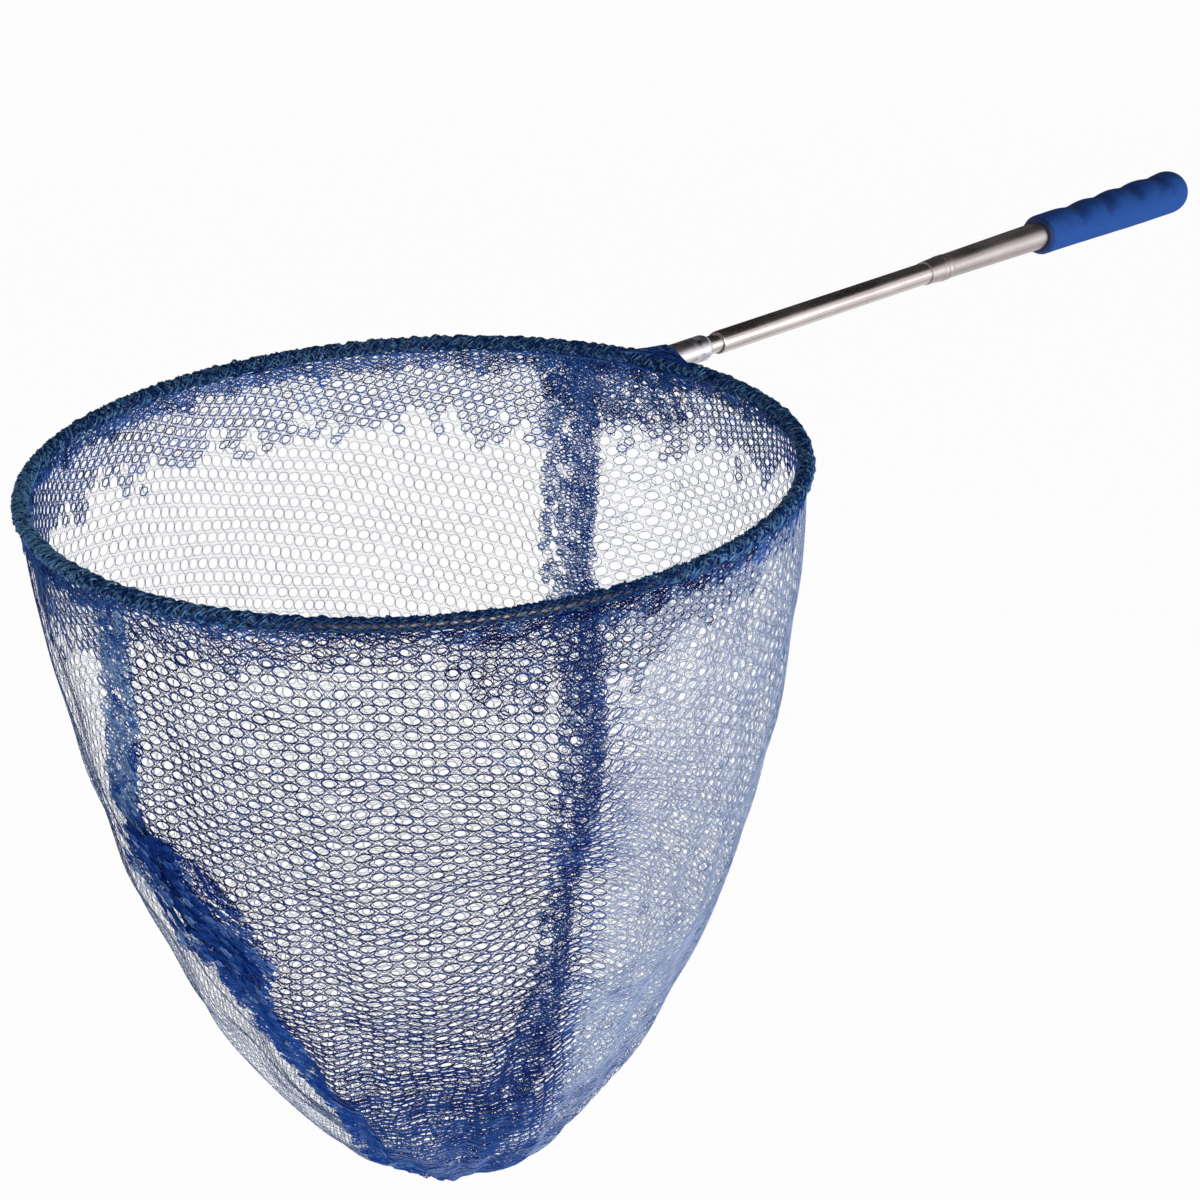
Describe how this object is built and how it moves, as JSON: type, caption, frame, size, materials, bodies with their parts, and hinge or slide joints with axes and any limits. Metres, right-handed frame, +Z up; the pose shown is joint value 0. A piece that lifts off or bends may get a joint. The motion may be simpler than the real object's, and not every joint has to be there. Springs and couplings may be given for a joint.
{
  "type": "landing net",
  "caption": "Telescopic landing net: a wire hoop with a deep mesh bag on a steel handle whose tubes slide and turn, with a foam grip.",
  "frame": {"origin": "on the handle's axis, at the centre of the plain band of the grip, just in front of the rounded butt", "axes": "+X runs along the handle from the hoop to the butt, +Z is up with the bag hanging down, +Y completes the right-handed frame"},
  "size_m": [0.8529, 0.3674, 0.3962],
  "materials": {
    "foam": "matt closed-cell foam",
    "collar": "satin black",
    "main_steel": "satin stainless steel",
    "mid_steel": "polished stainless steel",
    "inner_steel": "polished stainless steel",
    "plug": "moulded nylon",
    "bush": "sprung strip",
    "ferrule": "bright, crimped",
    "core": "as cast",
    "wire": "drawn wire",
    "rim_net": "twisted knitted net",
    "hem_net": "doubled knitted net",
    "bag_net": "knotless knitted mesh",
    "seam_net": "doubled knitted net with stitching",
    "thread": "twisted thread"
  },
  "bodies": {
    "grip": {"foam_grip": "foam", "mouth_collar": "collar", "main_tube": "main_steel", "butt_plug": "plug"},
    "mid_bush": {"mid_bush_left": "bush", "mid_bush_right": "bush"},
    "mid": {"mid_tube": "mid_steel", "mid_tail": "plug"},
    "inner_bush": {"inner_bush_left": "bush", "inner_bush_right": "bush"},
    "head": {"inner_tube": "inner_steel", "inner_tail": "plug", "ferrule": "ferrule", "wire_core": "core", "hoop_wire": "wire", "rim_sleeve": "rim_net", "rim_hem": "hem_net", "lashing": "thread", "left_panel": "bag_net", "right_panel": "bag_net", "seam_band": "seam_net"}
  },
  "joints": [
    {"name": "mid_slide", "type": "slide", "parent": "grip", "child": "mid_bush", "axis": [-1, 0, 0], "range_m": [-0.176, 0]},
    {"name": "mid_turn", "type": "hinge", "parent": "mid_bush", "child": "mid", "pos_m": [-0.24, 0, 0], "axis": [1, 0, 0], "continuous": true},
    {"name": "inner_slide", "type": "slide", "parent": "mid", "child": "inner_bush", "axis": [-1, 0, 0], "range_m": [0, 0.159]},
    {"name": "inner_turn", "type": "hinge", "parent": "inner_bush", "child": "head", "pos_m": [-0.26, 0, 0], "axis": [1, 0, 0], "continuous": true}
  ]
}
